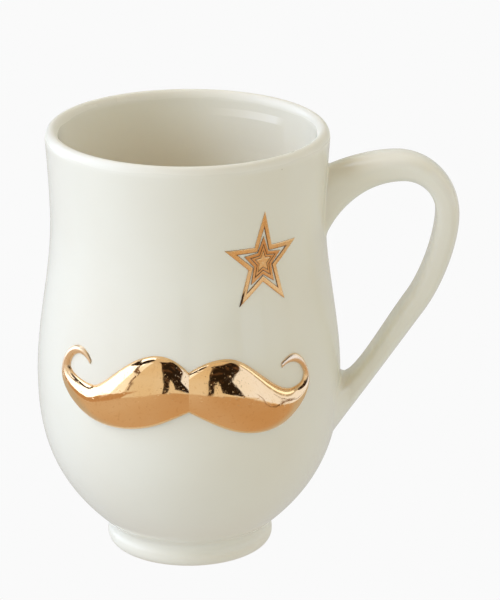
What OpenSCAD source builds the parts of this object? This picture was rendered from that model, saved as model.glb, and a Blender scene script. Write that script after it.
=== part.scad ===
// Tall footed mug with a gilded moustache in relief, a nested star and a strap handle.
// Millimetres. The origin is the middle of the resting face, Z points up,
// the handle points along +X and the moustache faces -Y.

/* [Body] */
// Overall height, resting face to top of lip
height = 120; // [112:1:150]
// Outside diameter at the lip
rim_d = 77; // [70:0.5:86]
// Smallest outside diameter, below the lip
waist_d = 75; // [66:0.5:84]
// Drop from the top of the lip to the waist
waist_drop = 25.2; // [20:0.2:32]
// Largest outside diameter
belly_d = 83.6; // [76:0.2:94]
// Height of the belly above the resting face
belly_z = 50.4; // [45:0.2:56]
// Outside diameter where the bowl meets the foot ring
crease_d = 48.8; // [42:0.2:56]
// How fast the bowl opens above the foot, radius per height
bowl_slope = 1.12; // [0.9:0.01:1.4]
// Thickness of the wall
wall = 3.6; // [2.8:0.1:4.6]
// Height of the rounded part of the lip
lip_h = 3; // [2:0.1:4.5]
// How fast the wall opens at the lip, radius per height
lip_slope = 0.07; // [0:0.01:0.15]
// Thickness of the floor over the foot recess
floor_t = 5; // [4:0.1:8]
// Reach of the curve between the inside of the wall and the floor
floor_curve = 6; // [3:0.5:8]

/* [Foot ring] */
// Height of the foot ring
foot_h = 8.5; // [7:0.1:11]
// Largest diameter of the ring's rounded edge
foot_d = 46; // [40:0.2:52]
// Reach of the rounding under that edge
foot_edge = 2.8; // [1.6:0.1:3.4]
// How far the neck above the edge draws in
neck_in = 0.7; // [0.2:0.1:1.4]
// Diameter of the recess inside the ring
recess_d = 33; // [26:0.2:36]
// Depth of the recess, up to the locating boss of the body
recess_h = 5.5; // [4.5:0.1:6.5]
// Chamfer round the mouth of the recess
recess_edge = 1; // [0.4:0.1:1.6]
// Clearance between the boss and the ring
boss_gap = 0.1; // [0.05:0.01:0.3]

/* [Handle] */
// Clear width for the fingers, waist to inside of strap
finger_gap = 29.8; // [24:0.2:36]
// Thickness of the strap at its outermost point
handle_t = 6.5; // [5:0.1:8.5]
// Width of the strap
handle_w = 12; // [9:0.1:16]
// Drop from the top of the lip to the strap's crown
crown_drop = 6.8; // [4:0.1:12]
// Height of the lower joint above the resting face
root_z = 36.7; // [32:0.1:41]
// Width of the strap at the lower joint
root_w = 22; // [14:0.2:24]
// Reach of that spread out of the wall, from the wall's middle
root_reach = 4.6; // [3:0.1:8]

/* [Moustache] */
// Length of the left wing along the body
left_l = 40; // [32:0.5:44]
// Length of the right wing along the body
right_l = 36.5; // [32:0.5:44]
// Full height of a wing
wing_h = 20; // [15:0.5:24]
// How far the relief stands out of the body
relief = 4; // [2.5:0.1:5.5]
// Height of the moustache's middle above the resting face
relief_z = 58.6; // [54:0.2:64]
// Turn of the seam from the front towards the handle, degrees
relief_turn = 1; // [-5:0.5:5]
// Tilt of the moustache, left wing up, degrees
relief_tilt = 2; // [-4:0.5:4]

/* [Star] */
// Radius of the star's points
star_r = 13.9; // [9:0.1:16]
// Radius of the outline's notches as a share of its points
star_notch = 0.385; // [0.34:0.005:0.42]
// The same share for the smaller stars inside it
inner_notch = 0.475; // [0.4:0.005:0.5]
// Place of the star's middle, from 0 at the moustache's middle to 1 at the lip
star_share = 0.577; // [0.52:0.001:0.62]
// Turn of the star from the front towards the handle, degrees
star_turn = 32.5; // [26:0.1:40]
// Turn of the star in its own plane, clockwise, degrees
star_spin = 2.6; // [-10:0.1:10]
// Width of the star as a share of a regular star's width
star_narrow = 0.84; // [0.75:0.01:1]
// Lean of the star's arms, up towards the handle, degrees
star_lean = 2.7; // [-8:0.1:8]
// Thickness of the gilt layers
film = 0.2; // [0.12:0.01:0.4]

/* [Hidden] */
$fn = 128;

// Bed of slip or glaze under everything that is laid on the body
seat = 0.04;

// Heights and radii that follow from these sizes
lip_z = height - lip_h;
waist_z = height - waist_drop;
waist_r = waist_d / 2;
belly_r = belly_d / 2;

// Outer profile: height, radius and slope at the crease, the belly, the waist and the lip
crease = [foot_h, crease_d / 2, bowl_slope];
belly = [belly_z, belly_r, 0];
waist = [waist_z, waist_r, 0];
lip = [lip_z, rim_d / 2, lip_slope];

function smooth_span(z, a, b) =
    let (h = b[0] - a[0], t = (z - a[0]) / h)
    (1 - 3 * t * t + 2 * t * t * t) * a[1] + (t - 2 * t * t + t * t * t) * h * a[2]
    + (3 * t * t - 2 * t * t * t) * b[1] + (t * t * t - t * t) * h * b[2];

function body_r(z) =
    z <= belly_z ? smooth_span(max(z, foot_h), crease, belly)
    : z <= waist_z ? smooth_span(z, belly, waist)
    : smooth_span(min(z, lip_z), waist, lip);

function body_slope(z) = (body_r(z + 0.05) - body_r(z - 0.05)) / 0.1;

function rise(x) = let (t = min(max(x, 0), 1)) t * t * (3 - 2 * t);

// Inside of the wall, measured square to the outer surface
function inside(z) =
    let (m = body_slope(z), k = wall / sqrt(1 + m * m))
    [body_r(z) - k, z + k * m];

// Curves made of cubic spans, three rows of the list a span and one to close it
function span(a, b, c, d, t) =
    let (s = 1 - t)
    s * s * s * a + 3 * s * s * t * b + 3 * s * t * t * c + t * t * t * d;

function spans(p) = (len(p) - 1) / 3;

function on_chain(p, s) =
    let (k = min(floor(s), spans(p) - 1))
    span(p[3 * k], p[3 * k + 1], p[3 * k + 2], p[3 * k + 3], s - k);

// Mug body
outer_steps = 48;
outer_wall = [for (i = [0 : outer_steps])
    let (z = foot_h + (lip_z - foot_h) * i / outer_steps) [body_r(z), z]];
lip_arc = [for (a = [10 : 10 : 170])
    [rim_d / 2 - wall / 2 + wall / 2 * cos(a), lip_z + lip_h * sin(a)]];
// Where the inside of the wall runs out into the floor
floor_z = recess_h + floor_t;
turn_z = foot_h + wall;
turn = inside(turn_z);
turn_slope = body_slope(turn_z);
corner = [turn[0] - turn_slope * (turn[1] - floor_z), floor_z];
floor_corner = [for (i = [0 : 8])
    span(turn, turn + (corner - turn) * 0.66, corner - [floor_curve / 3, 0],
         corner - [floor_curve, 0], i / 8)];
inner_steps = 48;
inner_wall = [for (i = [0 : inner_steps - 1]) inside(lip_z - (lip_z - turn_z) * i / inner_steps)];
boss_r = recess_d / 2;

module bowl_profile() {
    polygon(concat([[0, foot_h]], outer_wall, [[0, lip_z]]));
}

module mug_body() {
    color("ivory")
    rotate_extrude()
    polygon(concat([[0, recess_h], [boss_r - boss_gap, recess_h], [boss_r - boss_gap, foot_h]],
                   outer_wall, lip_arc, inner_wall, floor_corner, [[0, floor_z]]));
}

// Foot ring: flat land, rounded edge, and a cove that runs up into the bowl
foot_r = foot_d / 2;
neck_r = foot_r - neck_in;
foot_side = [[foot_r - foot_edge, 0], [foot_r - 0.36 * foot_edge, 0],
             [foot_r, 0.14 * foot_h], [foot_r, 0.33 * foot_h],
             [foot_r, 0.52 * foot_h], [neck_r, 0.5 * foot_h], [neck_r, 0.68 * foot_h],
             [neck_r, 0.8 * foot_h], [crease_d / 2 - 0.16 * foot_h * bowl_slope, 0.84 * foot_h],
             [crease_d / 2, foot_h]];

module foot_ring() {
    color("ivory")
    rotate_extrude()
    polygon(concat([[boss_r, foot_h], [boss_r, recess_edge], [boss_r + recess_edge, 0]],
                   [for (i = [0 : 24]) on_chain(foot_side, i / 8)]));
}

// Handle: sections between an outer and an inner edge, swept from the waist round to the bowl
reach = finger_gap + handle_t;
crown_z = height - crown_drop;
drop = crown_z - root_z;
function out_x(k) = waist_r + k * reach;
root_x = waist_r - 0.45 * wall;
elbow = [out_x(0.746), crown_z - 0.59 * drop];
heel_z = root_z - 0.0785 * drop;
heel = [body_r(heel_z) - wall / 6, heel_z];
down = (heel - elbow) / norm(heel - elbow);
inner_elbow = elbow + 0.94 * handle_t * [down[1], -down[0]];
strap_outside = [[root_x, crown_z - 0.066 * drop], [out_x(0.15), crown_z - 0.0235 * drop],
                 [out_x(0.345), crown_z], [out_x(0.523), crown_z],
                 [out_x(0.785), crown_z], [out_x(1), crown_z - 0.105 * drop],
                 [out_x(1), crown_z - 0.2355 * drop], [out_x(1), crown_z - 0.327 * drop],
                 elbow - 0.133 * drop * down, elbow,
                 elbow + (heel - elbow) / 3, elbow + (heel - elbow) * 2 / 3, heel];
under_z = crown_z - 1.17 * handle_t;
inner_x = out_x(1) - handle_t;
strap_inside = [[root_x, crown_z - 0.372 * drop], [waist_r, crown_z - 0.247 * drop],
                [out_x(0.234), under_z], [out_x(0.579), under_z],
                [out_x(0.716), under_z], [inner_x, crown_z - 0.154 * drop],
                [inner_x, crown_z - 0.228 * drop], [inner_x, crown_z - 0.32 * drop],
                inner_elbow - 0.094 * drop * down, inner_elbow,
                inner_elbow + 0.2 * drop * down,
                [body_r(root_z) + 0.4 * handle_t, root_z + 0.07 * drop],
                [body_r(root_z) - wall / 2, root_z + 0.17 * drop]];
// Places along the strap that get a ring, closer together towards the lower joint
close_s = 3.2;
far_rings = 38;
close_rings = 26;
strap_s = concat([for (i = [0 : far_rings - 1]) close_s * i / far_rings],
                 [for (i = [0 : close_rings - 1]) close_s + (4 - close_s) * i / (close_rings - 1)]);
strap_sides = 24;

// Section between an ellipse and a box, a power of 2 being an ellipse: round outside, flatter inside
outside_power = 2.4;
inside_power = 4;
function section_r(a) =
    let (n = cos(a) > 0 ? outside_power : inside_power)
    pow(pow(abs(cos(a)), n) + pow(abs(sin(a)), n), -1 / n);
// How far a point of the lower arm has spread into the joint, and how much less the heel spreads
lower_arm = 3;
spread_power = 1.5;
heel_taper = 0.34;
function spread(s, p) =
    s < lower_arm ? 0 : pow(1 - min(max((p[0] - body_r(p[1]) + wall / 2) / root_reach, 0), 1), spread_power);
// The strap is a little wider at its upper joint
upper_extra = 0.1;
upper_run = 0.9;
function strap_width(s) = handle_w * (1 + upper_extra * rise(1 - s / upper_run));
function strap_point(s, a) =
    let (o = on_chain(strap_outside, s), i = on_chain(strap_inside, s), r = section_r(a),
         p = (o + i) / 2 + (o - i) / 2 * r * cos(a),
         w = strap_width(s) + (root_w - handle_w) * spread(s, p) * (1 - heel_taper * cos(a)) * abs(sin(a)))
    [p[0], w / 2 * r * sin(a), p[1]];

// Closed skin over rings of n points; flip gives the other winding
function skin_faces(rings, n, flip) =
    let (quads = [for (i = [0 : rings - 2]) for (j = [0 : n - 1])
             let (k = (j + 1) % n)
             each [[i * n + j, i * n + k, (i + 1) * n + k], [i * n + j, (i + 1) * n + k, (i + 1) * n + j]]],
         ends = [[for (j = [n - 1 : -1 : 0]) j], [for (j = [0 : n - 1]) (rings - 1) * n + j]])
    [for (f = concat(quads, ends)) flip ? [for (k = [len(f) - 1 : -1 : 0]) f[k]] : f];

module strap() {
    points = [for (s = strap_s) for (j = [0 : strap_sides - 1]) strap_point(s, 360 * j / strap_sides)];
    polyhedron(points, skin_faces(len(strap_s), strap_sides, true), convexity = 6);
}

module handle() {
    color("ivory")
    difference() {
        strap();
        rotate_extrude() bowl_profile();
    }
}

// Moustache: upper and lower edge of each wing, a row being distance from the seam, height and crown,
// drawn at the full height and the lengths that follow the rows
left_brow = [[0, 5.8, 0.55], [1.8, 7.6, 0.76], [4.5, 9.8, 0.93], [8, 9.8, 0.975],
             [17, 9.8, 1.09], [23.8, -1.4, 0.82], [28, -1.4, 0.65], [31.5, -1.4, 0.51],
             [36.7, 0, 0.42], [36.7, 1.8, 0.36], [36.7, 4.6, 0.3], [32.4, 8.2, 0.2], [29.1, 4, 0.1]];
left_base = [[0, -5], [3, -6.4], [6.4, -8.4], [9.6, -9.6],
             [15, -11.6], [21.6, -12.4], [27.6, -10.8], [32.1, -9.6],
             [39.5, -5.2], [39.5, 0], [39.5, 7.7], [32.2, 10.6], [28.7, 5.1]];
right_brow = [[0, 5.8, 0.55], [2.4, 7.5, 0.8], [6, 9.4, 0.97], [10.3, 9.4, 1],
              [17.5, 9.4, 1.05], [23.5, -1, 0.86], [30, -1, 0.62], [32.4, -1, 0.52],
              [34.9, 0, 0.4], [34.9, 2, 0.34], [34.9, 4.6, 0.28], [31, 7.6, 0.2], [27.1, 5, 0.1]];
right_base = [[0, -5], [3.2, -6.6], [7, -8.8], [10.4, -10.1],
              [15.6, -12.1], [22.7, -12.9], [28.1, -9.5], [31.6, -7.3],
              [36.1, -3.2], [36.1, 0.8], [36.1, 6.3], [33, 10.8], [27, 6.4]];
drawn_h = 20;
drawn_left = 40;
drawn_right = 36.5;
wing_rings = 48;
dome_points = 13;
back_points = 5;

function dome(q) = pow(max(1 - pow(abs(q), 2.2), 0), 0.6);
function on_body(u, z, h) =
    let (a = relief_turn + u / belly_r * 180 / PI, r = body_r(z) + seat + h)
    [r * sin(a), -r * cos(a), z];
function wing_point(brow, base, long, side, s, q, up) =
    let (b = on_chain(brow, s), l = on_chain(base, s),
         u = ((b[0] + l[0]) / 2 + q * (b[0] - l[0]) / 2) * long,
         v = ((b[1] + l[1]) / 2 + q * (b[1] - l[1]) / 2) * wing_h / drawn_h)
    on_body(side * u, relief_z + v - side * u * tan(relief_tilt), up * relief * b[2] * dome(q));

module wing(brow, base, long, side) {
    points = [for (i = [0 : wing_rings - 1]) let (s = 4 * i / (wing_rings - 1))
        each concat(
            [for (j = [0 : dome_points - 1])
                wing_point(brow, base, long, side, s, -cos(180 * j / (dome_points - 1)), 1)],
            [for (j = [1 : back_points])
                wing_point(brow, base, long, side, s, 1 - 2 * j / (back_points + 1), 0)])];
    polyhedron(points, skin_faces(wing_rings, dome_points + back_points, side > 0), convexity = 6);
}

module moustache_left() {
    color("goldenrod") wing(left_brow, left_base, left_l / drawn_left, -1);
}

module moustache_right() {
    color("goldenrod") wing(right_brow, right_base, right_l / drawn_right, 1);
}

// Star: nested bands laid on the wall, each a star cut out of a thin shell
star_z = relief_z + star_share * (lip_z - relief_z);
function star(r, notch) = [for (i = [0 : 9])
    let (a = 90 - star_spin - 36 * i, k = (i % 2 == 0 ? r : r * notch), u = star_narrow * k * cos(a))
    [waist_r * sin(u / waist_r * 180 / PI), k * sin(a) + u * tan(star_lean)]];
shell_steps = 12;
function shell_z(i) = star_z + 1.08 * star_r * (2 * i / shell_steps - 1);

module film_shell() {
    rotate_extrude()
    polygon(concat([for (i = [0 : shell_steps]) [body_r(shell_z(i)) + seat, shell_z(i)]],
                   [for (i = [shell_steps : -1 : 0]) [body_r(shell_z(i)) + seat + film, shell_z(i)]]));
}

module star_band(outside, hole, notch) {
    intersection() {
        film_shell();
        rotate([0, 0, star_turn])
        translate([0, 0, star_z])
        rotate([90, 0, 0])
        linear_extrude(belly_d)
        difference() {
            polygon(star(star_r * outside, notch));
            if (hole > 0) polygon(star(star_r * hole, notch));
        }
    }
}

module star_outer_band() {
    color("goldenrod") star_band(1, 0.68, star_notch);
}

module star_middle_band() {
    color("peru") star_band(0.51, 0.345, inner_notch);
}

module star_inner_band() {
    color("peru") star_band(0.33, 0.22, inner_notch);
}

module star_centre() {
    color("goldenrod") star_band(0.205, 0, inner_notch);
}

mug_body();
foot_ring();
handle();
moustache_left();
moustache_right();
star_outer_band();
star_middle_band();
star_inner_band();
star_centre();
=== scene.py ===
"""Looks of the moustache mug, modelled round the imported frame.

Shapes are worked out in millimetres, as in the construction, and put_piece() turns them into metres.
Materials and stage are in metres.
The origin is the middle of the resting face, Z points up, the handle points along +X
and the moustache faces -Y.
"""
import math

import bmesh
import bpy
import numpy as np
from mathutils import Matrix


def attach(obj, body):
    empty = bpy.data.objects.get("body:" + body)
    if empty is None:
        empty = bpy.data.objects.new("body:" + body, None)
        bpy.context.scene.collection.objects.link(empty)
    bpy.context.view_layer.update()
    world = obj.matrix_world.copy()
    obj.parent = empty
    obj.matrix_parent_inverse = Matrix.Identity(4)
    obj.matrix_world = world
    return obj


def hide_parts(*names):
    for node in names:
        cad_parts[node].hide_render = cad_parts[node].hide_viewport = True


MM = 0.001

# Body
HEIGHT = 120
RIM_D = 77
WAIST_R = 75 / 2
WAIST_DROP = 25.2
BELLY_R = 83.6 / 2
BELLY_Z = 50.4
CREASE_R = 48.8 / 2
BOWL_SLOPE = 1.12
WALL = 3.6
LIP_H = 3
LIP_SLOPE = 0.07
FLOOR_T = 5
FLOOR_CURVE = 6
LIP_Z = HEIGHT - LIP_H
WAIST_Z = HEIGHT - WAIST_DROP
TURNED_POINTS = 192

# Foot ring
FOOT_H = 8.5
FOOT_R = 46 / 2
FOOT_EDGE = 2.8
NECK_IN = 0.7
NECK_R = FOOT_R - NECK_IN
BOSS_R = 33 / 2
RECESS_H = 5.5
RECESS_EDGE = 1
BOSS_GAP = 0.1
BOSS_EDGE = 0.6

# Handle
FINGER_GAP = 29.8
HANDLE_T = 6.5
HANDLE_W = 12
CROWN_DROP = 6.8
ROOT_Z = 36.7
ROOT_W = 22
ROOT_REACH = 4.6
HEEL_TAPER = 0.34
OUTSIDE_POWER = 2.4
INSIDE_POWER = 4
JOINT_SUNK = 0.02

# Reach of the concave joints at the strap's outer edge, and how much more it is at the inner edge
UPPER_COVE = 0.9
UPPER_COVE_MORE = 1.1
LOWER_COVE = 0.7
LOWER_COVE_MORE = 1.9

# Moustache
RELIEF = 4
RELIEF_Z = 58.6
RELIEF_TURN = math.radians(1)
RELIEF_TILT = math.radians(2)
DOME_POWER = 2.2
DOME_SOFTNESS = 0.6
CURL_START = 2.2
CURL_REACH = 0.9
SEAT = 0.04

# Star
STAR_R = 13.9
STAR_NOTCH = 0.385
INNER_NOTCH = 0.475
STAR_Z = RELIEF_Z + 0.577 * (LIP_Z - RELIEF_Z)
STAR_TURN = math.radians(32.5)
STAR_SPIN = math.radians(2.6)
STAR_NARROW = 0.84
STAR_LEAN = math.radians(2.7)
FILM = 0.2

# Print slip on the star's outer band: how far in from its edge, and from where to where along its ten sides
SLIP_DEPTH = 0.4
SLIP_FROM = 5.95
SLIP_TO = 6.35

# Camera: what the middle of the picture shows, how far away, and from how high up
AIM = (16.85, 0, 70.33)
CAMERA_FAR = 900
CAMERA_RISE = math.radians(19.59)
LENS = 196.67

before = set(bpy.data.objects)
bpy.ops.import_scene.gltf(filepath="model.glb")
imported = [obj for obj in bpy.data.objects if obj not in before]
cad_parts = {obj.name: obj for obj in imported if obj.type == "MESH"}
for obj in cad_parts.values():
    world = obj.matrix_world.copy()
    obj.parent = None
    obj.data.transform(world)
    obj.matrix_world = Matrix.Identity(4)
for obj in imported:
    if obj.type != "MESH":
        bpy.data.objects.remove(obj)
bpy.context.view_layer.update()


# Curves

def rise(x):
    t = np.clip(x, 0, 1)
    return t * t * (3 - 2 * t)


def span(a, b, c, d, t):
    s = 1 - t
    return s ** 3 * a + 3 * s * s * t * b + 3 * s * t * t * c + t ** 3 * d


def on_chain(rows, s):
    """Points at places s along a chain of cubic spans, three rows a span and one to close it."""
    rows = np.asarray(rows, float)
    s = np.asarray(s, float)
    k = np.minimum(s.astype(int), (len(rows) - 1) // 3 - 1)
    return span(rows[3 * k], rows[3 * k + 1], rows[3 * k + 2], rows[3 * k + 3], (s - k)[..., None])


# Outer profile: height, radius and slope at the crease, the belly, the waist and the lip
STATIONS = np.array([(FOOT_H, CREASE_R, BOWL_SLOPE), (BELLY_Z, BELLY_R, 0),
                     (WAIST_Z, WAIST_R, 0), (LIP_Z, RIM_D / 2, LIP_SLOPE)])


def body_r(z):
    """Outside radius of the wall at height z."""
    heights, radii, slopes = STATIONS.T
    z = np.clip(z, FOOT_H, LIP_Z)
    k = np.clip(np.searchsorted(heights, z, side="right") - 1, 0, len(heights) - 2)
    h = heights[k + 1] - heights[k]
    t = (z - heights[k]) / h
    return ((1 + 2 * t) * (1 - t) ** 2 * radii[k] + t * (1 - t) ** 2 * h * slopes[k]
            + t * t * (3 - 2 * t) * radii[k + 1] + t * t * (t - 1) * h * slopes[k + 1])


def body_slope(z):
    step = 0.02
    return (body_r(z + step) - body_r(z - step)) / (2 * step)


def on_wall(points, out=0.0):
    """The points moved straight in or out to the wall's outside, or to a distance out of it."""
    r = body_r(points[..., 2]) + out
    a = np.arctan2(points[..., 0], -points[..., 1])
    return np.stack([r * np.sin(a), -r * np.cos(a), points[..., 2]], -1)


def wall_normal(points):
    a = np.arctan2(points[..., 0], -points[..., 1])
    lean = np.arctan(-body_slope(points[..., 2]))
    return np.stack([np.cos(lean) * np.sin(a), -np.cos(lean) * np.cos(a), np.sin(lean)], -1)


# Meshes

def put_piece(name, slot, material, points, faces, sharp=50, values=None):
    """A closed piece that rides with the mug and stands for the CAD node of its name."""
    mesh = bpy.data.meshes.new(name)
    mesh.from_pydata((np.asarray(points) * MM).tolist(), [], faces)
    shape = bmesh.new()
    shape.from_mesh(mesh)
    bmesh.ops.recalc_face_normals(shape, faces=shape.faces)
    shape.to_mesh(mesh)
    shape.free()
    mesh.shade_smooth()
    mesh.set_sharp_from_angle(angle=math.radians(sharp))
    for key, numbers in (values or {}).items():
        attribute = mesh.attributes.new(key, "FLOAT", "POINT")
        attribute.data.foreach_set("value", np.asarray(numbers, np.float32).ravel())
    mesh.materials.append(material)
    piece = bpy.data.objects.new(name + "_piece", mesh)
    bpy.context.scene.collection.objects.link(piece)
    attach(piece, "root")
    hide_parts(name)


def rows_to_faces(rows, n, loop=False):
    """Quads between rows of n points, each row a closed ring; loop joins the last row to the first."""
    pairs = [(i, i + 1) for i in range(rows - 1)]
    if loop:
        pairs.append((rows - 1, 0))
    return [(i * n + j, i * n + (j + 1) % n, k * n + (j + 1) % n, k * n + j)
            for i, k in pairs for j in range(n)]


def fan(first, n, centre):
    return [(first + j, first + (j + 1) % n, centre) for j in range(n)]


def revolve(profile, n):
    """A solid of revolution; a profile that starts and ends on the axis gets a point at each pole."""
    profile = np.asarray(profile, float)
    closed = profile[0, 0] > 0
    rings = profile if closed else profile[1:-1]
    a = np.arange(n) * 2 * math.pi / n
    points = np.stack([np.outer(rings[:, 0], np.sin(a)), np.outer(rings[:, 0], -np.cos(a)),
                       np.repeat(rings[:, 1:], n, 1)], -1).reshape(-1, 3)
    faces = rows_to_faces(len(rings), n, closed)
    if not closed:
        poles = [[0, 0, profile[0, 1]], [0, 0, profile[-1, 1]]]
        faces += fan(0, n, len(points)) + fan(len(points) - n, n, len(points) + 1)
        points = np.concatenate([points, poles])
    return points, faces


# Body and foot ring

def inside(z):
    """Inside of the wall, measured square to the outer surface."""
    slope = body_slope(z)
    k = WALL / np.sqrt(1 + slope * slope)
    return np.stack([body_r(z) - k, z + k * slope], -1)


def body_profile():
    outer_z = np.linspace(FOOT_H, LIP_Z, 110)
    outer = np.stack([body_r(outer_z), outer_z], -1)
    half_lip = WALL / 2
    a = np.radians(np.arange(6, 175, 6))
    lip = np.stack([RIM_D / 2 - half_lip + half_lip * np.cos(a), LIP_Z + LIP_H * np.sin(a)], -1)
    turn_z = FOOT_H + WALL
    inner = inside(np.linspace(LIP_Z, turn_z, 110))
    floor_z = RECESS_H + FLOOR_T
    turn = inner[-1]
    corner = np.array([turn[0] - body_slope(turn_z) * (turn[1] - floor_z), floor_z])
    t = np.linspace(0, 1, 17)[1:, None]
    floor_corner = span(turn, turn + (corner - turn) * 0.66, corner - [FLOOR_CURVE / 3, 0],
                        corner - [FLOOR_CURVE, 0], t)
    boss_r = BOSS_R - BOSS_GAP
    boss = [[0, RECESS_H], [boss_r - BOSS_EDGE, RECESS_H], [boss_r, RECESS_H + BOSS_EDGE], [boss_r, FOOT_H]]
    return np.concatenate([boss, outer, lip, inner, floor_corner, [[0, floor_z]]])


def foot_profile():
    side = [[FOOT_R - FOOT_EDGE, 0], [FOOT_R - 0.36 * FOOT_EDGE, 0],
            [FOOT_R, 0.14 * FOOT_H], [FOOT_R, 0.33 * FOOT_H],
            [FOOT_R, 0.52 * FOOT_H], [NECK_R, 0.5 * FOOT_H], [NECK_R, 0.68 * FOOT_H],
            [NECK_R, 0.8 * FOOT_H], [CREASE_R - 0.16 * FOOT_H * BOWL_SLOPE, 0.84 * FOOT_H],
            [CREASE_R, FOOT_H]]
    recess = [[BOSS_R, FOOT_H], [BOSS_R, RECESS_EDGE],
              [BOSS_R + 0.3 * RECESS_EDGE, 0.3 * RECESS_EDGE], [BOSS_R + RECESS_EDGE, 0]]
    return np.concatenate([recess, on_chain(side, np.linspace(0, 3, 61))])


# Handle

def strap_edges():
    """Outer and inner edge of the strap in the XZ plane, from the waist round to the bowl."""
    reach = FINGER_GAP + HANDLE_T
    crown_z = HEIGHT - CROWN_DROP
    drop = crown_z - ROOT_Z
    root_x = WAIST_R - 0.45 * WALL

    def at(k, down):
        return np.array([WAIST_R + k * reach, crown_z - down * drop])

    elbow = at(0.746, 0.59)
    heel_z = ROOT_Z - 0.0785 * drop
    heel = np.array([body_r(heel_z) - WALL / 6, heel_z])
    along = (heel - elbow) / np.linalg.norm(heel - elbow)
    inner_elbow = elbow + 0.94 * HANDLE_T * np.array([along[1], -along[0]])
    outside = [[root_x, crown_z - 0.066 * drop], at(0.15, 0.0235), at(0.345, 0), at(0.523, 0),
               at(0.785, 0), at(1, 0.105), at(1, 0.2355), at(1, 0.327),
               elbow - 0.133 * drop * along, elbow,
               elbow + (heel - elbow) / 3, elbow + (heel - elbow) * 2 / 3, heel]
    under = 1.17 * HANDLE_T / drop
    shift = np.array([-HANDLE_T, 0])
    wall_x = body_r(ROOT_Z)
    inside_edge = [[root_x, crown_z - 0.372 * drop], at(0, 0.247), at(0.234, under), at(0.579, under),
                   at(0.716, under), at(1, 0.154) + shift, at(1, 0.228) + shift, at(1, 0.32) + shift,
                   inner_elbow - 0.094 * drop * along, inner_elbow,
                   inner_elbow + 0.2 * drop * along,
                   [wall_x + 0.4 * HANDLE_T, ROOT_Z + 0.07 * drop],
                   [wall_x - WALL / 2, ROOT_Z + 0.17 * drop]]
    return np.array(outside), np.array(inside_edge)


STRAP_OUTSIDE, STRAP_INSIDE = strap_edges()


def section_r(a):
    """Radius of the strap's section: between an ellipse and a box, round outside and flatter inside."""
    n = np.where(np.cos(a) > 0, OUTSIDE_POWER, INSIDE_POWER)
    return (np.abs(np.cos(a)) ** n + np.abs(np.sin(a)) ** n) ** (-1 / n)


def strap_point(s, a):
    """Skin of the strap at place s along it and angle a round its section, 0 being its outer edge."""
    s, a = np.broadcast_arrays(s, a)
    outer, inner = on_chain(STRAP_OUTSIDE, s), on_chain(STRAP_INSIDE, s)
    r = section_r(a)
    x, z = np.moveaxis((outer + inner) / 2 + (outer - inner) / 2 * (r * np.cos(a))[..., None], -1, 0)
    spread = (s >= 3) * (1 - np.clip((x - body_r(z) + WALL / 2) / ROOT_REACH, 0, 1)) ** 1.5
    width = HANDLE_W * (1 + 0.1 * rise(1 - s / 0.9))
    width = width + (ROOT_W - HANDLE_W) * spread * (1 - HEEL_TAPER * np.cos(a)) * np.abs(np.sin(a))
    return np.stack([x, width / 2 * r * np.sin(a), z], -1)


def leaves_wall(a, buried, clear):
    """Places between a buried and a clear one where the strap's skin comes out of the wall."""
    low, high = np.full_like(a, buried), np.full_like(a, clear)
    for _ in range(40):
        middle = (low + high) / 2
        p = strap_point(middle, a)
        under = np.hypot(p[:, 0], p[:, 1]) < body_r(p[:, 2])
        low, high = np.where(under, middle, low), np.where(under, high, middle)
    return high


def joint_rows(a, place, way, reach, steps=9):
    """Concave joint between strap and wall: rings from the strap's skin out onto the wall,
    closed by rings that shrink to a point under the joint. Also the place where the strap starts."""
    edge = strap_point(place, a)
    along = np.roll(edge, -1, 0) - np.roll(edge, 1, 0)
    away = np.cross(along, wall_normal(edge))
    away /= np.linalg.norm(away, axis=1)[:, None]
    centre = edge.mean(0)
    away *= np.sign(np.sum(away * (edge - centre), 1))[:, None]
    skirt = on_wall(edge + reach[:, None] * away, -JOINT_SUNK)
    step = 0.01
    speed = np.linalg.norm(strap_point(place + way * step, a) - edge, axis=1) / step
    start = place + way * reach / speed
    top = strap_point(start, a)
    t = np.linspace(0, 1, steps + 1)[1:, None, None]
    cove = (1 - t) ** 2 * top + 2 * t * (1 - t) * edge + t * t * skirt
    shrink = np.array([0.75, 0.5, 0.25])[:, None, None]
    under = on_wall(centre + shrink * (skirt - centre), -JOINT_SUNK)
    return np.concatenate([cove, under]), on_wall(centre, -JOINT_SUNK), start


def handle_mesh(n=80, rings=220):
    a = np.arange(n) * 2 * math.pi / n
    inward = (1 - (1 + np.cos(a)) / 2) ** 2
    upper_reach = UPPER_COVE + UPPER_COVE_MORE * inward
    lower_reach = LOWER_COVE + LOWER_COVE_MORE * inward
    upper, upper_centre, first = joint_rows(a, leaves_wall(a, 0, 0.9), 1, upper_reach)
    lower, lower_centre, last = joint_rows(a, leaves_wall(a, 4, 3.2), -1, lower_reach)
    # The rings lie closer together towards the lower joint
    t = 1 - np.linspace(1, 0, rings)[:, None] ** 1.6
    strap = strap_point(first + (last - first) * t, a[None, :])
    rows = np.concatenate([upper[::-1], strap, lower])
    points = np.concatenate([rows.reshape(-1, 3), [upper_centre, lower_centre]])
    count = len(rows) * n
    faces = rows_to_faces(len(rows), n) + fan(0, n, count) + fan(count - n, n, count + 1)
    return points, faces


# Moustache: upper and lower edge of each wing, a row being distance from the seam, height and crown

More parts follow.
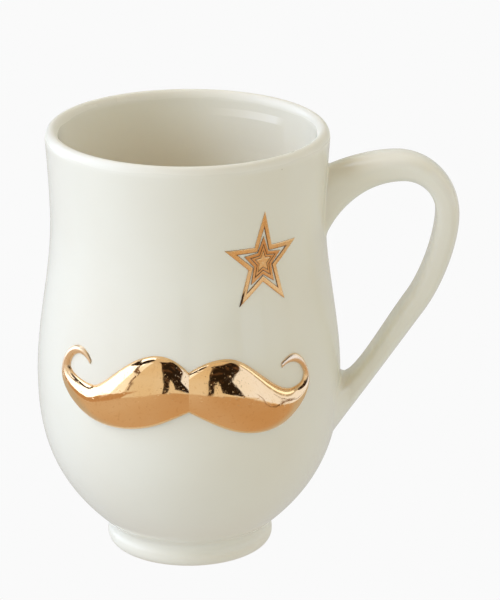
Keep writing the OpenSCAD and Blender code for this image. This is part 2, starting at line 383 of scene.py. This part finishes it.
LEFT_BROW = [[0, 5.8, 0.55], [1.8, 7.6, 0.76], [4.5, 9.8, 0.93], [8, 9.8, 0.975],
             [17, 9.8, 1.09], [23.8, -1.4, 0.82], [28, -1.4, 0.65], [31.5, -1.4, 0.51],
             [36.7, 0, 0.42], [36.7, 1.8, 0.36], [36.7, 4.6, 0.3], [32.4, 8.2, 0.2], [29.1, 4, 0.1]]
LEFT_BASE = [[0, -5], [3, -6.4], [6.4, -8.4], [9.6, -9.6],
             [15, -11.6], [21.6, -12.4], [27.6, -10.8], [32.1, -9.6],
             [39.5, -5.2], [39.5, 0], [39.5, 7.7], [32.2, 10.6], [28.7, 5.1]]
RIGHT_BROW = [[0, 5.8, 0.55], [2.4, 7.5, 0.8], [6, 9.4, 0.97], [10.3, 9.4, 1],
              [17.5, 9.4, 1.05], [23.5, -1, 0.86], [30, -1, 0.62], [32.4, -1, 0.52],
              [34.9, 0, 0.4], [34.9, 2, 0.34], [34.9, 4.6, 0.28], [31, 7.6, 0.2], [27.1, 5, 0.1]]
RIGHT_BASE = [[0, -5], [3.2, -6.6], [7, -8.8], [10.4, -10.1],
              [15.6, -12.1], [22.7, -12.9], [28.1, -9.5], [31.6, -7.3],
              [36.1, -3.2], [36.1, 0.8], [36.1, 6.3], [33, 10.8], [27, 6.4]]


def wing_mesh(brow, base, side, rings=170, across=49, back=9):
    """Skin of a wing and, for each point, how near it lies to the edge and how far along the curl."""
    s = np.linspace(0, 4, rings)[:, None]
    q = np.concatenate([-np.cos(np.linspace(0, math.pi, across)),
                        1 - 2 * np.arange(1, back + 1) / (back + 1)])[None, :]
    front = (np.arange(across + back) < across)[None, :]
    upper, lower = on_chain(brow, s), on_chain(base, s)
    u = side * ((upper[..., 0] + lower[..., 0]) / 2 + q * (upper[..., 0] - lower[..., 0]) / 2)
    v = (upper[..., 1] + lower[..., 1]) / 2 + q * (upper[..., 1] - lower[..., 1]) / 2
    dome = np.maximum(1 - np.abs(q) ** DOME_POWER, 0) ** DOME_SOFTNESS
    out = SEAT + RELIEF * upper[..., 2] * dome * front
    a = RELIEF_TURN + u / BELLY_R
    z = RELIEF_Z + v - u * math.tan(RELIEF_TILT)
    points = on_wall(np.stack([np.sin(a), -np.cos(a), z], -1), out).reshape(-1, 3)
    n = across + back
    faces = rows_to_faces(rings, n)
    faces += [tuple(range(n)), tuple(range((rings - 1) * n, rings * n))]
    edge = np.broadcast_to(np.abs(q), (rings, n))
    curl = np.broadcast_to(rise((s - CURL_START) / CURL_REACH), (rings, n))
    return points, faces, edge, curl


# Star: nested bands laid on the wall

def star_outline(r, notch, steps=10):
    """Outline of a star of point radius r, its sides in equal steps, as distances along and up the wall."""
    a = math.pi / 2 - STAR_SPIN - math.pi / 5 * np.arange(11)
    k = np.where(np.arange(11) % 2 == 0, r, r * notch)
    along = STAR_NARROW * k * np.cos(a)
    corners = np.stack([along, k * np.sin(a) + along * math.tan(STAR_LEAN)], -1)
    t = np.linspace(0, 1, steps, endpoint=False)[None, :, None]
    return (corners[:-1, None] * (1 - t) + corners[1:, None] * t).reshape(-1, 2)


def band_mesh(outside, hole, notch):
    """A gilt band with softened edges and, for each point, its place between the outer and inner edge
    and its place along the ten sides of the star, clockwise from the top point."""
    profile = [(0, 0), (0, 0.6), (0.04, 0.9), (0.12, 1), (0.3, 1), (0.5, 1), (0.7, 1), (0.88, 1),
               (0.96, 0.9)]
    profile += [(1, 0.6), (1, 0), (0.66, 0), (0.33, 0)] if hole else [(0.96, 0), (0.6, 0), (0.3, 0)]
    rows = []
    for t, h in profile:
        flat = star_outline(STAR_R * (outside + (hole - outside) * t), notch)
        a = STAR_TURN + flat[:, 0] / WAIST_R
        on = np.stack([np.sin(a), -np.cos(a), STAR_Z + flat[:, 1]], -1)
        rows.append(on_wall(on, SEAT + FILM * h))
    n = len(rows[0])
    points = np.concatenate(rows)
    across = np.repeat([t for t, _ in profile], n)
    along = np.tile(np.arange(n) * 10 / n, len(rows))
    return points, rows_to_faces(len(rows), n, True), across, along


# Material helpers

def new_material(name):
    material = bpy.data.materials.new(name)
    material.use_nodes = True
    return material, material.node_tree, material.node_tree.nodes["Principled BSDF"]


def add_node(tree, kind, inputs=None, **settings):
    """A node with its settings; each input is a value or the socket that feeds it."""
    node = tree.nodes.new(kind)
    for key, value in settings.items():
        setattr(node, key, value)
    for key, value in (inputs or {}).items():
        if isinstance(value, bpy.types.NodeSocket):
            tree.links.new(value, node.inputs[key])
        else:
            node.inputs[key].default_value = value
    return node


def combine(tree, operation, a, b):
    return add_node(tree, "ShaderNodeMath", {0: a, 1: b}, operation=operation).outputs[0]


def place(tree):
    return add_node(tree, "ShaderNodeTexCoord").outputs["Object"]


def noise(tree, where, scale, detail):
    inputs = {"Vector": where, "Scale": scale, "Detail": detail}
    return add_node(tree, "ShaderNodeTexNoise", inputs).outputs["Fac"]


def remap(tree, value, low, high, to_low=0.0, to_high=1.0):
    """The value's range from low to high stretched to another range, and held at both ends."""
    inputs = {"Value": value, "From Min": low, "From Max": high, "To Min": to_low, "To Max": to_high}
    return add_node(tree, "ShaderNodeMapRange", inputs).outputs["Result"]


def blend(tree, factor, a, b):
    """Colour a turning into colour b; 0, 6 and 7 are the node's factor and colour inputs."""
    return add_node(tree, "ShaderNodeMix", {0: factor, 6: a, 7: b}, data_type="RGBA").outputs[2]


def bump(tree, height, distance, strength=1.0, normal=None):
    """Normal of a surface raised by the height times a distance in metres, on top of another bump."""
    inputs = {"Height": height, "Distance": distance, "Strength": strength}
    if normal is not None:
        inputs["Normal"] = normal
    return add_node(tree, "ShaderNodeBump", inputs).outputs["Normal"]


def stored(tree, name):
    return add_node(tree, "ShaderNodeAttribute", attribute_name=name).outputs["Fac"]


def axes_of(tree, where):
    return add_node(tree, "ShaderNodeSeparateXYZ", {"Vector": where}).outputs


# Materials

IVORY = (0.84, 0.815, 0.71, 1)
CREAM = (0.82, 0.785, 0.675, 1)
SPECK = (0.62, 0.56, 0.46, 1)
BISCUIT = (0.60, 0.53, 0.44, 1)
ROSE_GOLD = (0.93, 0.59, 0.28, 1)
PALE_GOLD = (0.95, 0.64, 0.34, 1)
DEEP_GOLD = (0.80, 0.46, 0.20, 1)
# Paler gold of the curls: partly thinner lustre, partly painted light on the tips that face away from the
# light
THIN_GOLD_AND_PAINTED_LIGHT = (0.96, 0.71, 0.45, 1)
STAR_GOLD = (0.98, 0.61, 0.26, 1)
WORN_GOLD = (0.97, 0.63, 0.29, 1)
BURNT_GOLD = (0.83, 0.43, 0.15, 1)
RUBBED_GOLD = (0.85, 0.45, 0.17, 1)
FAINT_LINE = (0.80, 0.50, 0.23, 1)
BROWN_LINE = (0.34, 0.18, 0.08, 1)
DARK_LINE = (0.10, 0.05, 0.025, 1)
GLAZE_IOR = 1.46

# Roughness added on the lip and the foot, and the heights in metres between which the lip turns duller
LIP_DULL = 0.18
FOOT_DULL = 0.2
LIP_DULL_FROM = 0.1160
LIP_DULL_TO = 0.1185


def glaze_colour(tree, where):
    """Ivory with soft clouds and fine specks."""
    cloud = remap(tree, noise(tree, where, 28, 3), 0.35, 0.65)
    colour = blend(tree, cloud, IVORY, CREAM)
    cells = add_node(tree, "ShaderNodeTexVoronoi", {"Vector": where, "Scale": 70.0})
    speck = remap(tree, cells.outputs["Distance"], 0.018, 0.010)
    return blend(tree, speck, colour, SPECK)


def finish_glaze(tree, shader, where, colour, dull, ridge=None):
    """Colour, shine and soft unevenness of the glaze; dull is added to its roughness."""
    tree.links.new(colour, shader.inputs["Base Color"])
    fine = remap(tree, noise(tree, where, 60, 3), 0.3, 0.7, 0.09, 0.16)
    tree.links.new(combine(tree, "ADD", fine, dull), shader.inputs["Roughness"])
    peel = bump(tree, noise(tree, where, 420, 1), 0.00004, 0.35, ridge)
    tree.links.new(bump(tree, noise(tree, where, 45, 1), 0.0004, 0.3, peel), shader.inputs["Normal"])
    shader.inputs["IOR"].default_value = GLAZE_IOR


def throwing_ridge(tree, where):
    """Height of a soft ridge that the potter's finger left inside, under the lip behind the handle.
    Each row of the limits is a measure in metres, where the ridge starts and where it is full."""
    axes = axes_of(tree, where)
    flat = add_node(tree, "ShaderNodeVectorMath", {0: where, 1: (1, 1, 0)}, operation="MULTIPLY")
    length = add_node(tree, "ShaderNodeVectorMath", {0: flat.outputs[0]}, operation="LENGTH")
    limits = [(axes["Z"], 0.1040, 0.1132), (axes["Z"], 0.1154, 0.1132),
              (axes["X"], 0.0020, 0.0190), (axes["X"], 0.0262, 0.0240),
              (axes["Y"], 0.0100, 0.0140), (length.outputs["Value"], 0.0370, 0.0365)]
    parts = [remap(tree, measure, start, full) for measure, start, full in limits]
    height = parts[0]
    for part in parts[1:]:
        height = combine(tree, "MULTIPLY", height, part)
    return height


def make_glaze():
    """Ivory glaze, less shiny on the lip."""
    material, tree, shader = new_material("ivory_glaze")
    where = place(tree)
    ridge = bump(tree, throwing_ridge(tree, where), 0.0005, 1.0)
    dull = remap(tree, axes_of(tree, where)["Z"], LIP_DULL_FROM, LIP_DULL_TO, 0.0, LIP_DULL)
    finish_glaze(tree, shader, where, glaze_colour(tree, where), dull, ridge)
    return material


def make_foot_glaze():
    """The same glaze, less shiny, wiped off the land that the mug stands on."""
    material, tree, shader = new_material("foot_glaze")
    where = place(tree)
    ragged = remap(tree, noise(tree, where, 500, 2), 0.3, 0.7, -0.0002, 0.0002)
    level = combine(tree, "ADD", axes_of(tree, where)["Z"], ragged)
    bare = remap(tree, level, 0.0006, 0.0003)
    finish_glaze(tree, shader, where, blend(tree, bare, glaze_colour(tree, where), BISCUIT), FOOT_DULL)
    return material


def make_gilt():
    """Fired gold lustre: bright and rosy with fine pits, paler at its edge, and rougher and paler on the
    curls: thinner lustre there, with painted light that brightens the curl tips which turn away from the
    light.
    """
    material, tree, shader = new_material("gilt_relief")
    where = place(tree)
    curl = stored(tree, "curl")
    mottled = blend(tree, remap(tree, noise(tree, where, 90, 3), 0.35, 0.65), ROSE_GOLD, PALE_GOLD)
    grain = remap(tree, noise(tree, where, 1100, 2), 0.58, 0.72, 0.0, 0.35)
    mottled = blend(tree, grain, mottled, DEEP_GOLD)
    # Paler gold on the curls: partly thinner lustre, partly painted light on the tips that face away from
    # the light
    mottled = blend(tree, curl, mottled, THIN_GOLD_AND_PAINTED_LIGHT)
    thin = remap(tree, stored(tree, "edge"), 0.97, 1.0)
    tree.links.new(blend(tree, thin, mottled, PALE_GOLD), shader.inputs["Base Color"])
    shader.inputs["Metallic"].default_value = 1.0
    fine = remap(tree, noise(tree, where, 700, 3), 0.3, 0.7, 0.05, 0.12)
    dull = remap(tree, curl, 0.0, 1.0, 0.0, 0.22)
    tree.links.new(combine(tree, "ADD", fine, dull), shader.inputs["Roughness"])
    pits = remap(tree, noise(tree, where, 1500, 1), 0.66, 0.74)
    pitted = bump(tree, pits, -0.00004, 0.4)
    tree.links.new(bump(tree, noise(tree, where, 150, 2), 0.0004, 0.25, pitted), shader.inputs["Normal"])
    return material


def make_star(name, main, worn, outer_line, inner_line):
    """A printed gilt band with a thin line along its outer and its inner edge."""
    material, tree, shader = new_material(name)
    where = place(tree)
    across = stored(tree, "across")
    tone = blend(tree, remap(tree, noise(tree, where, 260, 3), 0.35, 0.65), main, worn)
    tone = blend(tree, remap(tree, across, 0.10, 0.05), tone, outer_line)
    tone = blend(tree, remap(tree, across, 0.82, 0.90), tone, inner_line)
    tree.links.new(blend(tree, stored(tree, "slipped"), tone, DARK_LINE), shader.inputs["Base Color"])
    shader.inputs["Metallic"].default_value = 1.0
    rough = remap(tree, noise(tree, where, 900, 2), 0.3, 0.7, 0.22, 0.34)
    tree.links.new(rough, shader.inputs["Roughness"])
    tree.links.new(bump(tree, noise(tree, where, 800, 2), 0.00005, 0.1), shader.inputs["Normal"])
    return material


glaze = make_glaze()
gilt = make_gilt()
bright_star = make_star("bright_star_gilt", STAR_GOLD, WORN_GOLD, FAINT_LINE, BROWN_LINE)
brown_star = make_star("brown_star_gilt", BURNT_GOLD, RUBBED_GOLD, BROWN_LINE, BROWN_LINE)
centre_star = make_star("centre_star_gilt", STAR_GOLD, WORN_GOLD, STAR_GOLD, STAR_GOLD)

put_piece("mug_body", "glaze", glaze, *revolve(body_profile(), TURNED_POINTS), sharp=30)
put_piece("foot_ring", "foot_glaze", make_foot_glaze(), *revolve(foot_profile(), TURNED_POINTS))
put_piece("handle", "glaze", glaze, *handle_mesh())
for name, brow, base, side in (("moustache_left", LEFT_BROW, LEFT_BASE, -1),
                               ("moustache_right", RIGHT_BROW, RIGHT_BASE, 1)):
    points, faces, edge, curl = wing_mesh(brow, base, side)
    put_piece(name, "gilt_relief", gilt, points, faces, values={"edge": edge, "curl": curl})
for name, slot, material, outside, hole, notch in (
        ("star_outer_band", "star_gold", bright_star, 1, 0.68, STAR_NOTCH),
        ("star_middle_band", "star_brown", brown_star, 0.51, 0.345, INNER_NOTCH),
        ("star_inner_band", "star_brown", brown_star, 0.33, 0.22, INNER_NOTCH),
        ("star_centre", "star_gold", centre_star, 0.205, 0, INNER_NOTCH)):
    points, faces, across, along = band_mesh(outside, hole, notch)
    slipped = (across < SLIP_DEPTH) & (along > SLIP_FROM) & (along < SLIP_TO)
    slipped &= name == "star_outer_band"
    put_piece(name, slot, material, points, faces, values={"across": across, "slipped": slipped})


# Stage: a pale floor and soft boxes all round light the mug. What its gloss mirrors stands apart from them:
# two windows, walls, a beam, a shelf, a dark standing screen, a cord, a squiggle, a glint and a table top.

PAPER = (0.956, 0.956, 0.956, 1)
FLOOR_LEFT = (0.70, 0.68, 0.66, 1)
FLOOR_RIGHT = (0.67, 0.64, 0.61, 1)
TABLE_LEFT = (0.66, 0.54, 0.42, 1)
TABLE_RIGHT = (0.575, 0.415, 0.27, 1)
TABLE_BACK = (0.56, 0.55, 0.52, 1)
WALL_LOW = (0.82, 0.80, 0.74, 1)
WALL_HIGH = (0.80, 0.74, 0.62, 1)
CEILING = (0.72, 0.66, 0.56, 1)
DAYLIGHT = (0.92, 1.0, 1.12, 1)
WINDOW = (0.90, 1.05, 1.34, 1)
COOL_WALL = (0.96, 1.15, 1.58, 1)
BACK_WALL = (0.52, 0.53, 0.52, 1)
SCREEN = (0.022, 0.015, 0.010, 1)
SCREEN_LIT = (0.12, 0.070, 0.042, 1)
SHADE = (0.16, 0.095, 0.052, 1)
SHADE_LIT = (0.36, 0.23, 0.13, 1)

# Soft boxes: azimuths of their sides, and colour below and above the middle
SOFT_BOXES = [(-180, -135, (0.02, 0.02, 0.02), (1.15, 1.20, 1.00)),
              (-135, -112, (0.02, 0.02, 0.02), (1.20, 1.25, 1.50)),
              (-112, -90, (0.05, 0.05, 0.05), (3.15, 3.45, 4.20)),
              (-90, -68, (2.25, 2.50, 3.00), (4.35, 4.80, 5.75)),
              (-68, -46, (2.80, 3.20, 4.20), (2.75, 2.70, 2.80)),
              (-46, 0, (0.37, 0.72, 1.00), (1.30, 0.88, 0.15)),
              (0, 48, (0.82, 0.90, 0.83), (0.32, 0.06, 0.03)),
              (48, 90, (1.20, 1.47, 1.38), (0.72, 0.34, 0.06)),
              (90, 135, (0.46, 0.42, 0.70), (1.60, 1.62, 1.35)),
              (135, 180, (0.70, 0.88, 1.20), (2.10, 2.30, 2.15))]
BOX_LOW = -4
BOX_MIDDLE = 28
BOX_HIGH = 58
LID_MIDDLE = 72
LID_TOP = 89

# Height of the mug's middle, heights and radii of floor and table, and how far off the rest stands
MIDDLE_Z = 0.06
FLOOR_Z = -0.0004
FLOOR_RADIUS = 0.6
TABLE_Z = -0.0002
TABLE_RADIUS = 0.45
BOXES_FAR = 2.6
WALLS_FAR = 2.244
THINGS_FAR = 2.0
GLINT_FAR = 1.96
SQUIGGLE_FAR = 0.22

# Where floor and table turn from one colour to the next: across the floor, across the table, front to back
FLOOR_TURN = (-0.04, 0.02)
TABLE_TURN = (-0.12, 0.06)
TABLE_END = (-0.035, -0.005)

# Mirrored walls: name, name and colour and strength of the light, rows of elevation, left and right azimuth
WALLS = [("window", "window_light", WINDOW, 2.4,
          [(-8, -132, -76), (8, -132, -76), (35, -132, -71), (62, -132, -62), (76, -132, -97)]),
         ("pale_wall", "pale_wall_light", DAYLIGHT, 1.25,
          [(-2, -76, -56), (8, -76, -55), (35, -71, -52), (60, -62, -45)]),
         ("cool_wall", "cool_wall_light", COOL_WALL, 1.0,
          [(-6, 30, 100), (20, 30, 100), (44, 30, 100)]),
         ("back_wall", "back_wall_light", BACK_WALL, 1.0,
          [(-10, 100, 228), (20, 100, 228), (50, 100, 228), (75, 100, 228)])]

# Mirrored things before the walls, in rows of the same kind
BEAM = [(14, -160, -152), (28, -150, -134), (32, -145, -122), (42, -135, -89), (46, -125, -75.5),
        (49, -97, -74), (56, -96, -62), (67, -96, -60), (72, -92, -66)]
SHELF = [(-9, -105, -56), (-4, -105, -50), (-0.5, -104, -36), (1, -103, -70), (4, -102, -80),
         (7, -100, -87)]
SCREEN_LEFT = [(-9.5, -6.4, -3), (-6, -5, 3), (0, -4, 5), (10, -3.2, 5.5), (20, -4, 10)]
SCREEN_RIGHT = [(-6.4, 40, 43), (-2, 15.5, 41), (1, 15.5, 40), (10.7, 14.5, 36.7), (20, 10.5, 33)]
SCREEN_TOP = [(20, -4, 35), (26, -3.5, 40), (30, -4, 47), (34, -4.5, 56), (37, -5, 66), (40, -5.5, 76),
              (42, -6, 85), (46, -6, 95), (52, -7, 100), (60, -8, 100), (66, -15, 90), (70, -25, 70)]
RIGHT_WINDOW = [(-6, 108, 119), (42, 108, 119)]

# Mirrored strips: rows of azimuth, elevation and width
CORD = [(-80, 44, 10), (-70.6, 36, 8), (-60, 33, 7), (-53.6, 30.5, 5), (-54.3, 26.6, 4.5),
        (-55.6, 19, 4), (-54.8, 14.3, 3.5), (-50.5, 12, 3), (-49.8, 4, 2.5), (-51.3, 1.5, 1.5)]
SQUIGGLE = [(55, 1, 1), (56.3, 0.2, 1.2), (58.6, -3.7, 1.4), (57.8, -8.3, 1.4), (60.1, -12.8, 1.5),
            (65.2, -13.4, 1.6), (71.5, -9.6, 1.8), (79.8, -1.2, 2), (83.7, 2.9, 1.6), (84, 9, 1)]
GLINT = [(33.2, 28.2, 1.4), (34.8, 29.6, 1.4)]


def is_camera_ray(tree):
    return add_node(tree, "ShaderNodeLightPath").outputs["Is Camera Ray"]


def set_world():
    """Soft walls under a darker ceiling; the camera sees plain paper."""
    world = bpy.data.worlds.new("surroundings")
    bpy.context.scene.world = world
    world.use_nodes = True
    tree = world.node_tree
    tree.nodes.clear()
    toward = add_node(tree, "ShaderNodeTexCoord").outputs["Generated"]
    up = axes_of(tree, toward)["Z"]
    walls = blend(tree, remap(tree, up, 0.35, 0.65), WALL_LOW, WALL_HIGH)
    ceiling = blend(tree, remap(tree, up, 0.75, 0.95), walls, CEILING)
    room = add_node(tree, "ShaderNodeBackground", {"Color": ceiling, "Strength": 1.0})
    paper = add_node(tree, "ShaderNodeBackground", {"Color": PAPER, "Strength": 1.0})
    pick = add_node(tree, "ShaderNodeMixShader",
                    {0: is_camera_ray(tree), 1: room.outputs[0], 2: paper.outputs[0]})
    out = tree.nodes.new("ShaderNodeOutputWorld")
    tree.links.new(pick.outputs[0], out.inputs["Surface"])


def stage_mesh(name, points, faces, material, camera=False, soft=True, mirrored=True):
    """A stage object: soft ones light the matt glaze, mirrored ones show in the gloss."""
    mesh = bpy.data.meshes.new(name)
    mesh.from_pydata(points, [], faces)
    mesh.materials.append(material)
    item = bpy.data.objects.new(name, mesh)
    bpy.context.scene.collection.objects.link(item)
    item.visible_camera = camera
    item.visible_diffuse = soft
    item.visible_shadow = soft
    item.visible_glossy = mirrored


def empty_material(name):
    material = bpy.data.materials.new(name)
    material.use_nodes = True
    material.node_tree.nodes.clear()
    return material, material.node_tree


def show(tree, shader):
    out = tree.nodes.new("ShaderNodeOutputMaterial")
    tree.links.new(shader.outputs[0], out.inputs["Surface"])


def glow(name, colour, strength):
    material, tree = empty_material(name)
    show(tree, add_node(tree, "ShaderNodeEmission", {"Color": colour, "Strength": strength}))
    return material


def clouded(name, colour, lit, scale):
    """A dark thing with lighter patches."""
    material, tree = empty_material(name)
    patches = remap(tree, noise(tree, place(tree), scale, 2), 0.52, 0.68)
    tone = blend(tree, patches, colour, lit)
    show(tree, add_node(tree, "ShaderNodeEmission", {"Color": tone, "Strength": 1.0}))
    return material


def disc(radius, z, n=96):
    a = np.arange(n) * 2 * math.pi / n
    return [(radius * math.cos(t), radius * math.sin(t), z) for t in a], [tuple(range(n))]


def make_floor():
    """Paper white to the camera and a pale warm floor to the light; from below it is seen through."""
    material, tree = empty_material("floor")
    across = axes_of(tree, place(tree))["X"]
    pale = blend(tree, remap(tree, across, *FLOOR_TURN), FLOOR_LEFT, FLOOR_RIGHT)
    bounce = add_node(tree, "ShaderNodeEmission", {"Color": pale, "Strength": 1.0})
    paper = add_node(tree, "ShaderNodeEmission", {"Color": PAPER, "Strength": 1.0})
    clear = tree.nodes.new("ShaderNodeBsdfTransparent")
    below = add_node(tree, "ShaderNodeNewGeometry").outputs["Backfacing"]
    seen = add_node(tree, "ShaderNodeMixShader", {0: below, 1: paper.outputs[0], 2: clear.outputs[0]})
    show(tree, add_node(tree, "ShaderNodeMixShader",
                        {0: is_camera_ray(tree), 1: bounce.outputs[0], 2: seen.outputs[0]}))
    stage_mesh("floor", *disc(FLOOR_RADIUS, FLOOR_Z), material, camera=True, mirrored=False)


def make_table():
    """What the gloss mirrors in place of the floor: tan in front and grey behind."""
    material, tree = empty_material("table")
    axes = axes_of(tree, place(tree))
    front = blend(tree, remap(tree, axes["X"], *TABLE_TURN), TABLE_LEFT, TABLE_RIGHT)
    tone = blend(tree, remap(tree, axes["Y"], *TABLE_END), front, TABLE_BACK)
    show(tree, add_node(tree, "ShaderNodeEmission", {"Color": tone, "Strength": 1.0}))
    stage_mesh("table", *disc(TABLE_RADIUS, TABLE_Z), material, soft=False)


def seen_at(azimuth, elevation, far):
    """A point as seen from the mug's middle, azimuth 0 being the front and 90 the handle's side."""
    a, e = math.radians(azimuth), math.radians(elevation)
    level = far * math.cos(e)
    return (level * math.sin(a), -level * math.cos(a), MIDDLE_Z + far * math.sin(e))


def card(name, material, rows, far, steps=8, **rays):
    """A screen bent round the mug, its rows being elevation, left azimuth and right azimuth."""
    points = [seen_at(left + (right - left) * i / steps, elevation, far)
              for elevation, left, right in rows for i in range(steps + 1)]
    n = steps + 1
    faces = [(j * n + i, j * n + i + 1, j * n + n + i + 1, j * n + n + i)
             for j in range(len(rows) - 1) for i in range(steps)]
    stage_mesh(name, points, faces, material, **rays)


def make_soft_boxes():
    """Two rows of soft boxes, one above the other, under a dark lid."""
    for k, (left, right, low, high) in enumerate(SOFT_BOXES):
        for level, colour, bottom, top in (("low", low, BOX_LOW, BOX_MIDDLE),
                                           ("high", high, BOX_MIDDLE, BOX_HIGH)):
            name = f"soft_box_{level}_{k}"
            rows = [(elevation, left, right) for elevation in (bottom, (bottom + top) / 2, top)]
            card(name, glow(name, (*colour, 1), 1.0), rows, BOXES_FAR, mirrored=False)
    rows = [(elevation, -180, 180) for elevation in (BOX_HIGH, LID_MIDDLE, LID_TOP)]
    card("soft_lid", glow("soft_lid", SCREEN, 1.0), rows, BOXES_FAR, steps=32, mirrored=False)


def ribbon(name, material, path, far):
    """A narrow strip bent round the mug, its path's rows being azimuth, elevation and width in degrees."""
    path = np.asarray(path, float)
    along = np.gradient(path[:, :2], axis=0)
    side = np.stack([-along[:, 1], along[:, 0]], -1)
    side *= path[:, 2:] / 2 / np.linalg.norm(side, axis=1)[:, None]
    edges = np.concatenate([path[:, :2] + side, path[:, :2] - side])
    n = len(path)
    faces = [(i, i + 1, n + i + 1, n + i) for i in range(n - 1)]
    stage_mesh(name, [seen_at(a, e, far) for a, e in edges], faces, material, soft=False)


def make_mirrored():
    """What the gloss mirrors: walls and windows, and what stands or hangs before them."""
    dark = clouded("screen_dark", SCREEN, SCREEN_LIT, 2.5)
    shade = clouded("shade_brown", SHADE, SHADE_LIT, 4)
    for name, light, colour, strength, rows in WALLS:
        card(name, glow(light, colour, strength), rows, WALLS_FAR, soft=False)
    tan = glow("shelf_tan", SHADE_LIT, 1.5)
    daylight = glow("right_window_light", DAYLIGHT, 1.6)
    things = [("beam", dark, BEAM), ("shelf", tan, SHELF), ("screen_left", dark, SCREEN_LEFT),
              ("screen_right", dark, SCREEN_RIGHT), ("screen_top", dark, SCREEN_TOP),
              ("right_window", daylight, RIGHT_WINDOW)]
    for name, material, rows in things:
        card(name, material, rows, THINGS_FAR, steps=16, soft=False)
    ribbon("cord", shade, CORD, THINGS_FAR)
    ribbon("squiggle", shade, SQUIGGLE, SQUIGGLE_FAR)
    ribbon("glint", glow("glint_light", DAYLIGHT, 2.0), GLINT, GLINT_FAR)


def make_camera():
    data = bpy.data.cameras.new("camera")
    data.lens = LENS
    data.sensor_width = 36
    data.clip_start = 0.05
    data.clip_end = 50
    camera = bpy.data.objects.new("camera", data)
    camera.location = (AIM[0] * MM, (AIM[1] - CAMERA_FAR * math.cos(CAMERA_RISE)) * MM,
                       (AIM[2] + CAMERA_FAR * math.sin(CAMERA_RISE)) * MM)
    camera.rotation_euler = (math.pi / 2 - CAMERA_RISE, 0, 0)
    bpy.context.scene.collection.objects.link(camera)
    bpy.context.scene.camera = camera


set_world()
make_floor()
make_table()
make_soft_boxes()
make_mirrored()
make_camera()
bpy.context.scene.view_settings.view_transform = "Standard"
